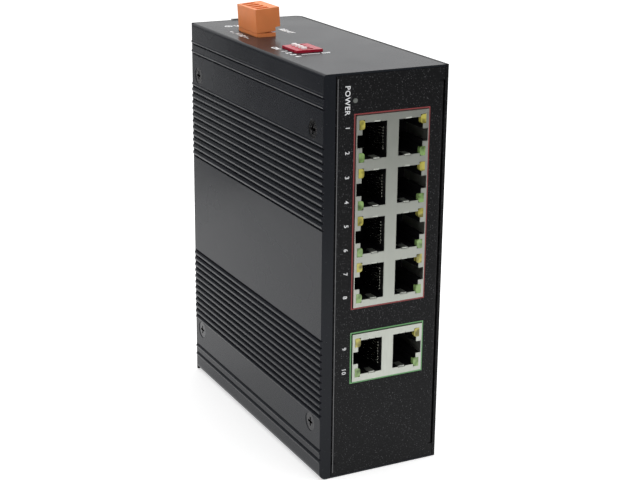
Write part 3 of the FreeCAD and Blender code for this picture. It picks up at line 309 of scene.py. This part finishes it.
def coat_material(name, base, speck, roughness, shine, grain=1600.0, speck_start=0.64,
                  depth=0.02 * MM):
    """Powder coat with specks; its sheen follows its slow cloudiness."""
    material, nodes, links, shader, effect = start_material(name, "powder")
    effect.inputs["Grain"].default_value = grain
    effect.inputs["Speck Start"].default_value = speck_start
    cloudy = blend(nodes, links, effect.outputs["Cloud"], tinted(base, 0.8), tinted(base, 1.25))
    paint = blend(nodes, links, effect.outputs["Specks"], cloudy, tuple(speck))
    links.new(paint, shader.inputs["Base Color"])
    sheen = span(nodes, links, effect.outputs["Cloud"], 0.3, 0.7,
                 roughness - 0.03, roughness + 0.04)
    links.new(sheen, shader.inputs["Roughness"])
    shader.inputs["Specular IOR Level"].default_value = shine
    bump(nodes, links, shader, effect.outputs["Height"], depth)
    return material


def metal_material(name, base, roughness, stretch=(1.0, 1.0, 1.0), fineness=900.0,
                   depth=0.004 * MM):
    """Plated or drawn metal with fine lines in one direction."""
    material, nodes, links, shader, effect = start_material(name, "drawn")
    effect.inputs["Stretch"].default_value = stretch
    effect.inputs["Fineness"].default_value = fineness
    paint = blend(nodes, links, effect.outputs["Cloud"], tinted(base, 0.86), tinted(base, 1.1))
    links.new(paint, shader.inputs["Base Color"])
    shader.inputs["Metallic"].default_value = 1.0
    sheen = span(nodes, links, effect.outputs["Lines"], 0.3, 0.7,
                 roughness - 0.06, roughness + 0.08)
    links.new(sheen, shader.inputs["Roughness"])
    bump(nodes, links, shader, effect.outputs["Lines"], depth)
    return material


def plastic_material(name, base, roughness, grain=5000.0, depth=0.004 * MM, through=0.0,
                     shine=0.5):
    """Moulded plastic with a faint grain, which lets a little light in where through is set."""
    material, nodes, links, shader, effect = start_material(name, "mould")
    effect.inputs["Grain"].default_value = grain
    paint = blend(nodes, links, effect.outputs["Flow"], tinted(base, 0.9), tinted(base, 1.08))
    links.new(paint, shader.inputs["Base Color"])
    sheen = span(nodes, links, effect.outputs["Flow"], 0.3, 0.7,
                 roughness - 0.04, roughness + 0.05)
    links.new(sheen, shader.inputs["Roughness"])
    shader.inputs["Specular IOR Level"].default_value = shine
    if through:
        shader.inputs["Subsurface Weight"].default_value = through
        shader.inputs["Subsurface Radius"].default_value = (1.2 * MM, 0.5 * MM, 0.3 * MM)
        shader.inputs["Subsurface Scale"].default_value = 1.0
    bump(nodes, links, shader, effect.outputs["Height"], depth)
    return material


def lens_material(name, base, painted_shade=0.35):
    """A moulded lens whose colour carries random light and dark patches: a painted highlight and
    painted shade.
    """
    material, nodes, links, shader, effect = start_material(name, "mould")
    effect.inputs["Grain"].default_value = 450.0
    # Painted highlight and painted shade: noise patches lift the colour a little or darken it to
    # the given share.
    painted_light_patch = span(nodes, links, effect.outputs["Height"], 0.35, 0.6, 0.0, 1.0)
    links.new(blend(nodes, links, painted_light_patch, tinted(base, painted_shade), tinted(base, 1.15)),
              shader.inputs["Base Color"])
    sheen = span(nodes, links, effect.outputs["Flow"], 0.3, 0.7, 0.08, 0.16)
    links.new(sheen, shader.inputs["Roughness"])
    bump(nodes, links, shader, effect.outputs["Height"], 0.05 * MM)
    return material


def dress(material, *nodes):
    """Gives carried-over nodes their finish."""
    for node in nodes:
        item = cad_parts[node]
        item.data.materials.clear()
        item.data.materials.append(material)


# ---- mesh helpers ---------------------------------------------------------------
def add_piece(name, mesh, material, body=CASE):
    """A piece of this scene's own, which rides on a body."""
    mesh.materials.clear()
    mesh.materials.append(material)
    item = bpy.data.objects.new(name, mesh)
    bpy.context.scene.collection.objects.link(item)
    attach(item, body)


def mesh_from(build):
    """A mesh from a function that fills a bmesh."""
    mesh = bpy.data.meshes.new("piece")
    form = bmesh.new()
    build(form)
    bmesh.ops.recalc_face_normals(form, faces=form.faces)
    form.to_mesh(mesh)
    form.free()
    return mesh


def slab(form, low, high):
    """A box between two corners, added to a bmesh."""
    made = bmesh.ops.create_cube(form, size=1.0)
    centre = (Vector(low) + Vector(high)) / 2
    size = Vector(high) - Vector(low)
    for vert in made["verts"]:
        vert.co = centre + Vector(vert.co[i] * size[i] for i in range(3))


def band(form, outer, inner, shift):
    """A flat ring between two loops of points, made as thick as shift."""
    outer, inner = ([form.verts.new(point) for point in loop] for loop in (outer, inner))
    for k in range(len(outer)):
        form.faces.new((outer[k - 1], outer[k], inner[k], inner[k - 1]))
    for item in bmesh.ops.extrude_face_region(form, geom=form.faces[:])["geom"]:
        if isinstance(item, bmesh.types.BMVert):
            item.co += shift


def ring(form, low, high, gap, width, face, depth):
    """A thin printed frame whose centre line runs a gap outside the given box's front."""
    loops = []
    for reach in (gap + width / 2, gap - width / 2):
        x, z = (low.x - reach, high.x + reach), (low.z - reach, high.z + reach)
        loops.append([Vector((x[i], face, z[j])) for i, j in ((0, 0), (1, 0), (1, 1), (0, 1))])
    band(form, *loops, Vector((0.0, -depth, 0.0)))


def earth_mark(form, centre, radius, depth):
    """An earth mark as thick as the ink: a ring round an upright and three bars."""
    turns = [Matrix.Rotation(k * math.tau / 32, 3, "Z") @ Vector((radius, 0.0, 0.0))
             for k in range(32)]
    band(form, [centre + turn for turn in turns], [centre + turn * 0.62 for turn in turns],
         Vector((0.0, 0.0, depth)))
    bars = ((0.12, 0.02, 0.5), (0.45, -0.18, 0.0), (0.3, -0.36, -0.24), (0.16, -0.52, -0.42))
    for half_x, low_y, high_y in bars:      # as shares of the ring's radius
        slab(form, centre + Vector((-half_x, low_y, 0.0)) * radius,
             centre + Vector((half_x * radius, high_y * radius, depth)))


def lettering(name, strings, turn, depth, material, bold=0.02):
    """Printed strings, each (text, height, centre); turn says which way they read, and bold
    which share of their height thickens them."""
    form = bmesh.new()
    for text, height, centre in strings:
        curve = bpy.data.curves.new(name, "FONT")
        curve.body = text
        curve.size = height / CAPITAL_SHARE
        curve.align_x = "CENTER"
        curve.align_y = "CENTER"
        curve.resolution_u = 3
        curve.extrude = depth / 2
        curve.offset = height * bold
        curve.space_character = LETTER_SPACING
        carrier = bpy.data.objects.new(name, curve)
        bpy.context.scene.collection.objects.link(carrier)
        bpy.context.view_layer.update()
        mesh = bpy.data.meshes.new_from_object(carrier)
        mesh.transform(Matrix.Translation(Vector(centre)) @ turn)
        form.from_mesh(mesh)
        bpy.data.objects.remove(carrier)
        bpy.data.curves.remove(curve)
        bpy.data.meshes.remove(mesh)
    mesh = bpy.data.meshes.new(name)
    form.to_mesh(mesh)
    form.free()
    add_piece(name, mesh, material)


READ_DOWN_FRONT = Matrix(((0, 1, 0, 0), (0, 0, -1, 0), (-1, 0, 0, 0), (0, 0, 0, 1)))
READ_DOWN_TOP = Matrix(((0, 1, 0, 0), (-1, 0, 0, 0), (0, 0, 1, 0), (0, 0, 0, 1)))
READ_ACROSS_TOP = Matrix.Identity(4)


# ---- pieces ---------------------------------------------------------------------
class FinishCase(bpy.types.Operator):
    """Coats the ribbed body, front plate and cover, blackens the screws, paints a highlight line
    down the plate's left side
    """
    bl_idname = "switch_looks.case"
    bl_label = "Case"

    def execute(self, context):
        use = settings("case")
        body = coat_material("body_coat", use.coat, use.speck, use.gloss, use.shine,
                             grain=2200.0, speck_start=0.72, depth=0.012 * MM)
        plate = coat_material("plate_coat", use.plate, use.speck, use.plate_gloss, use.plate_shine,
                              grain=1500.0, speck_start=0.63, depth=0.03 * MM)
        screw = metal_material("blackened_screw", use.screw, 0.2, fineness=1000.0, depth=0.09 * MM)
        dress(body, "body_extrusion")
        dress(plate, "wrap_cover", "front_plate")
        dress(screw, "side_screws", "cover_screws")
        # A pale strip just inside the plate's left side: a painted highlight for the light that
        # the plate's rounded rim catches.
        thin = coat_material("painted_highlight_strip", use.edge, use.speck, roughness=0.4, shine=0.4)
        low = Vector((PLATE_LOW.x + 0.4 * MM, PLATE_LOW.y - 0.02 * MM, PLATE_LOW.z + 1.0 * MM))
        high = Vector((low.x + 0.2 * MM, PLATE_LOW.y + 0.1 * MM, PLATE_HIGH.z - 1.0 * MM))
        add_piece("painted_plate_highlight", mesh_from(lambda form: slab(form, low, high)), thin)
        return {"FINISHED"}


class FinishJacks(bpy.types.Operator):
    """Plates the shields and contacts, and colours the insulators and the port lights"""
    bl_idname = "switch_looks.jacks"
    bl_label = "Jacks"

    def execute(self, context):
        use = settings("jacks")
        shield = metal_material("plated_shield", use.shield, 0.42, stretch=(1.0, 1.0, 0.08),
                                fineness=1400.0)
        inside = plastic_material("jack_plastic", use.inside, 0.7, shine=0.08)
        contact = metal_material("gold_plate", use.contact, 0.2)
        # Each lens's colour carries painted highlight and painted shade patches.
        status = lens_material("status_lens", use.status, painted_shade=0.6)
        yellow = lens_material("yellow_lens", use.yellow)
        green = lens_material("green_lens", use.green)
        dress(shield, "jack_shield_large", "jack_shield_small")
        dress(inside, *PORT_SHELLS)
        dress(contact, "contacts_large", "contacts_small")
        dress(yellow, "yellow_lights")
        dress(green, "green_lights")
        dress(status, "power_light")
        return {"FINISHED"}


class FinishTop(bpy.types.Operator):
    """Colours the orange terminal, its clamps, and the red slide switch with its actuators"""
    bl_idname = "switch_looks.top"
    bl_label = "Terminal and slide switch"

    def execute(self, context):
        use = settings("top")
        orange = plastic_material("terminal_plastic", use.orange, 0.42, grain=2500.0,
                                  depth=0.01 * MM, through=0.08)
        red = plastic_material("switch_plastic", use.red, 0.3)
        key = plastic_material("actuator_plastic", use.key, 0.35)
        tin = metal_material("tinned", use.tin, 0.32)
        dress(orange, "terminal_header", "terminal_plug")
        dress(red, "dip_base")
        dress(key, *KEYS)
        dress(tin, "plug_clamps", "plug_screws", "header_pins")
        return {"FINISHED"}


class FinishBack(bpy.types.Operator):
    """Plates the rail bracket, its screws and spring, and finishes the latch and the inside"""
    bl_idname = "switch_looks.back"
    bl_label = "Bracket and inside"

    def execute(self, context):
        use = settings("back")
        zinc = metal_material("zinc_plate", use.zinc, 0.4, stretch=(1.0, 1.0, 0.1), fineness=700.0)
        latch = plastic_material("latch_plastic", use.latch, 0.5, grain=2500.0, depth=0.01 * MM)
        board = plastic_material("solder_mask", use.board, 0.3, grain=1500.0)
        dark = plastic_material("component_plastic", use.parts, 0.5)
        bare = metal_material("bare_aluminium", use.bare, 0.35)
        dress(latch, "din_latch")
        dress(zinc, "din_bracket", "bracket_screws", "bracket_nuts", "latch_spring",
              "board_spacers", "board_screws")
        dress(board, "main_board", "io_board")
        dress(dark, "transformers", "switch_chip", "power_inductor", "board_link")
        dress(bare, "heat_sink", "capacitors")
        return {"FINISHED"}


class PrintFrontLegends(bpy.types.Operator):
    """Prints the port numbers, the supply mark and the two frame lines on the front plate"""
    bl_idname = "switch_looks.front_legends"
    bl_label = "Front legends"

    def execute(self, context):
        use = settings("legends")
        face = PLATE_LOW.y
        ink = plastic_material("legend_ink", use.ink, 0.5, grain=3000.0)
        block_low, block_high = corners("jack_shield_large")
        small_low, small_high = corners("jack_shield_small")
        x = block_low.x - 3.0 * MM
        y = face - use.ink_depth / 2
        first, step = block_high.z - 3.75 * MM, 8.18 * MM
        heights = [first - step * k for k in range(8)]
        middle = (small_low.z + small_high.z) / 2
        heights += [middle + 3.8 * MM, middle - 4.3 * MM]
        strings = [(str(number), use.number, (x, y, z)) for number, z in enumerate(heights, 1)]
        light = (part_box("power_light")[0][2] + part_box("power_light")[1][2]) / 2
        strings.append(("POWER", use.supply, (x - 0.2 * MM, y, light + 0.2 * MM)))
        lettering("front_numbers", strings, READ_DOWN_FRONT, use.ink_depth, ink)
        for name, low, high, tint in (("red_frame_line", block_low, block_high, use.red_line),
                                      ("green_frame_line", small_low, small_high, use.green_line)):
            mesh = mesh_from(lambda form: ring(form, low, high, use.line_gap, use.line, face,
                                               use.ink_depth))
            paint = plastic_material(name + "_ink", tint, 0.5, grain=3000.0)
            add_piece(name, mesh, paint)
        return {"FINISHED"}


class PrintTopLegends(bpy.types.Operator):
    """Prints the pole marks, switch numbers, earth mark and line on the top face"""
    bl_idname = "switch_looks.top_legends"
    bl_label = "Top legends"

    def execute(self, context):
        use = settings("legends")
        ink = plastic_material("top_ink", use.ink, 0.5, grain=3000.0)
        top = CASE_HIGH.z
        z = top + use.ink_depth / 2
        plug_low, plug_high = corners("terminal_plug")
        base_low, base_high = corners("dip_base")
        side, back = plug_low.x, plug_high.y
        strings = [("+ -", use.small, (side - 3.0 * MM, back - 2.4 * MM, z)),
                   ("V1", use.small, (side - 2.4 * MM, back - 6.5 * MM, z)),
                   ("V2", use.small, (side - 2.8 * MM, back - 10.3 * MM, z)),
                   ("+ -", use.small, (side - 2.8 * MM, back - 14.6 * MM, z)),
                   ("RELAY", use.small * 1.1, (plug_high.x + 6.5 * MM, back - 7.4 * MM, z)),
                   ("ON", use.small, (base_low.x - 2.6 * MM, base_high.y - 0.3 * MM, z))]
        strings += [(str(k + 1), use.small,
                     (base_low.x - 2.4 * MM, base_high.y - (6.6 + 3.5 * k) * MM, z))
                    for k in range(4)]
        lettering("top_marks", strings, READ_DOWN_TOP, use.ink_depth, ink, use.bold)
        strings = [("V", use.small * 1.3, (side + 4.3 * MM, back + 9.6 * MM, z)),
                   ("DIP", use.small * 0.7, (base_high.x - 0.3 * MM, base_low.y - 3.2 * MM, z))]
        lettering("across_marks", strings, READ_ACROSS_TOP, use.ink_depth, ink, use.bold)
        low = Vector((base_low.x + 0.3 * MM, base_low.y - 3.25 * MM, top))
        high = low + Vector((6.8 * MM, 0.5 * MM, use.ink_depth))
        add_piece("switch_line", mesh_from(lambda form: slab(form, low, high)), ink)
        centre = Vector((side + 1.1 * MM, back + 10.4 * MM, top))
        mark = mesh_from(lambda form: earth_mark(form, centre, 1.5 * MM, use.ink_depth))
        add_piece("earth_mark", mark, ink)
        return {"FINISHED"}


# ---- stage ----------------------------------------------------------------------
def aim(item, place, target):
    item.location = place
    item.rotation_euler = (Vector(target) - Vector(place)).to_track_quat("-Z", "Y").to_euler()


def area_light(name, place, target, size, power):
    data = bpy.data.lights.new(name, "AREA")
    data.shape = "RECTANGLE"
    data.size, data.size_y = size
    data.energy = power
    lamp = bpy.data.objects.new(name, data)
    bpy.context.scene.collection.objects.link(lamp)
    aim(lamp, place, target)


def view_camera():
    """The camera, front left and above, with a slight roll."""
    azimuth, elevation, roll = math.radians(-27.1), math.radians(17.66), math.radians(0.63)
    ahead = Vector((-math.sin(azimuth) * math.cos(elevation),
                    math.cos(azimuth) * math.cos(elevation), -math.sin(elevation)))
    right = Vector((math.cos(azimuth), math.sin(azimuth), 0.0))
    up = right.cross(ahead)
    right, up = (right * math.cos(roll) + up * math.sin(roll),
                 up * math.cos(roll) - right * math.sin(roll))
    data = bpy.data.cameras.new("view")
    data.lens = 81.5
    data.sensor_width = 36.0
    data.clip_start = 0.01
    item = bpy.data.objects.new("view", data)
    bpy.context.scene.collection.objects.link(item)
    turn = Matrix((right, up, -ahead)).transposed().to_4x4()
    item.matrix_world = Matrix.Translation(Vector((-0.2262, -0.4508, 0.2279))) @ turn
    bpy.context.scene.camera = item


def seen_directly(nodes, links):
    """1 for camera, mirror and see-through rays, and 0 for the rays that light things."""
    rays = nodes.new("ShaderNodeLightPath")
    level = rays.outputs["Is Camera Ray"]
    for label in ("Is Glossy Ray", "Is Transmission Ray"):
        either = nodes.new("ShaderNodeMath")
        either.operation = "MAXIMUM"
        links.new(level, either.inputs[0])
        links.new(rays.outputs[label], either.inputs[1])
        level = either.outputs[0]
    return level


def pale_world(strength):
    world = bpy.data.worlds.new("surroundings")
    bpy.context.scene.world = world
    world.use_nodes = True
    nodes, links = world.node_tree.nodes, world.node_tree.links
    background = nodes["Background"]
    background.inputs["Color"].default_value = (1.0, 1.0, 1.0, 1.0)
    level = span(nodes, links, seen_directly(nodes, links), 0.0, 1.0, strength, 1.0)
    links.new(level, background.inputs["Strength"])


def floor_material(base):
    """A pale floor that looks a little lighter than it is lit, so that it stays near white."""
    material = bpy.data.materials.new("pale_floor")
    material.use_nodes = True
    nodes, links = material.node_tree.nodes, material.node_tree.links
    shader = nodes["Principled BSDF"]
    shader.inputs["Base Color"].default_value = (*base, 1.0)
    shader.inputs["Roughness"].default_value = 0.9
    shader.inputs["Specular IOR Level"].default_value = 0.0
    shader.inputs["Emission Color"].default_value = (1.0, 1.0, 1.0, 1.0)
    glow = span(nodes, links, seen_directly(nodes, links), 0.0, 1.0, 0.0, 0.5)
    links.new(glow, shader.inputs["Emission Strength"])
    return material


def dark_card(name, low, high, material):
    """A flat card beside the object that only its reflections show."""
    mesh = mesh_from(lambda form: slab(form, low, high))
    mesh.materials.append(material)
    item = bpy.data.objects.new(name, mesh)
    bpy.context.scene.collection.objects.link(item)
    item.visible_camera = item.visible_diffuse = item.visible_shadow = False


class SetStage(bpy.types.Operator):
    """Lays the floor and sets the lights, the surroundings and the camera"""
    bl_idname = "switch_looks.stage"
    bl_label = "Stage"

    def execute(self, context):
        use = settings("stage")
        bpy.context.scene.view_settings.view_transform = "Standard"
        mesh = mesh_from(lambda form: bmesh.ops.create_grid(form, x_segments=1, y_segments=1,
                                                            size=4.0))
        mesh.materials.append(floor_material(use.floor))
        floor = bpy.data.objects.new("floor", mesh)
        bpy.context.scene.collection.objects.link(floor)
        floor.location.z = CASE_LOW.z - 0.2 * MM
        pale_world(use.sky)
        centre = (0.0, 0.0, 0.07)
        area_light("top_light", (0.2, 0.05, 0.85), centre, (0.8, 0.8), use.key_light)
        area_light("side_light", (-0.9, 0.1, 0.35), centre, (0.8, 0.6), use.side_light)
        felt = plastic_material("card_felt", use.card, 0.9, grain=800.0)
        dark_card("front_card", (-0.02, -0.302, 0.0), (0.55, -0.3, 0.4), felt)
        dark_card("left_card", (-0.6, 0.3, 0.0), (-0.12, 0.302, 0.3), felt)
        view_camera()
        return {"FINISHED"}


class SwitchPanel(bpy.types.Panel):
    """Lists the pieces and their settings in the 3D view's sidebar"""
    bl_idname = "VIEW3D_PT_switch_looks"
    bl_label = "Rail switch"
    bl_space_type = "VIEW_3D"
    bl_region_type = "UI"
    bl_category = "Switch"

    def draw(self, context):
        for item in OPERATORS:
            self.layout.operator(item.bl_idname)
        for name, kind in GROUPS.items():
            box = self.layout.box()
            for key in kind.__annotations__:
                box.prop(settings(name), key)


OPERATORS = (FinishCase, FinishJacks, FinishTop, FinishBack, PrintFrontLegends,
             PrintTopLegends, SetStage)
CLASSES = (*GROUPS.values(), SwitchLooks, *OPERATORS, SwitchPanel)


def register():
    for item in CLASSES:
        bpy.utils.register_class(item)
    bpy.types.Scene.switch_looks = PointerProperty(type=SwitchLooks)


def unregister():
    del bpy.types.Scene.switch_looks
    for item in reversed(CLASSES):
        bpy.utils.unregister_class(item)


def main():
    register()
    for item in OPERATORS:
        group, name = item.bl_idname.split(".")
        getattr(getattr(bpy.ops, group), name)()


if __name__ == "__main__":
    main()
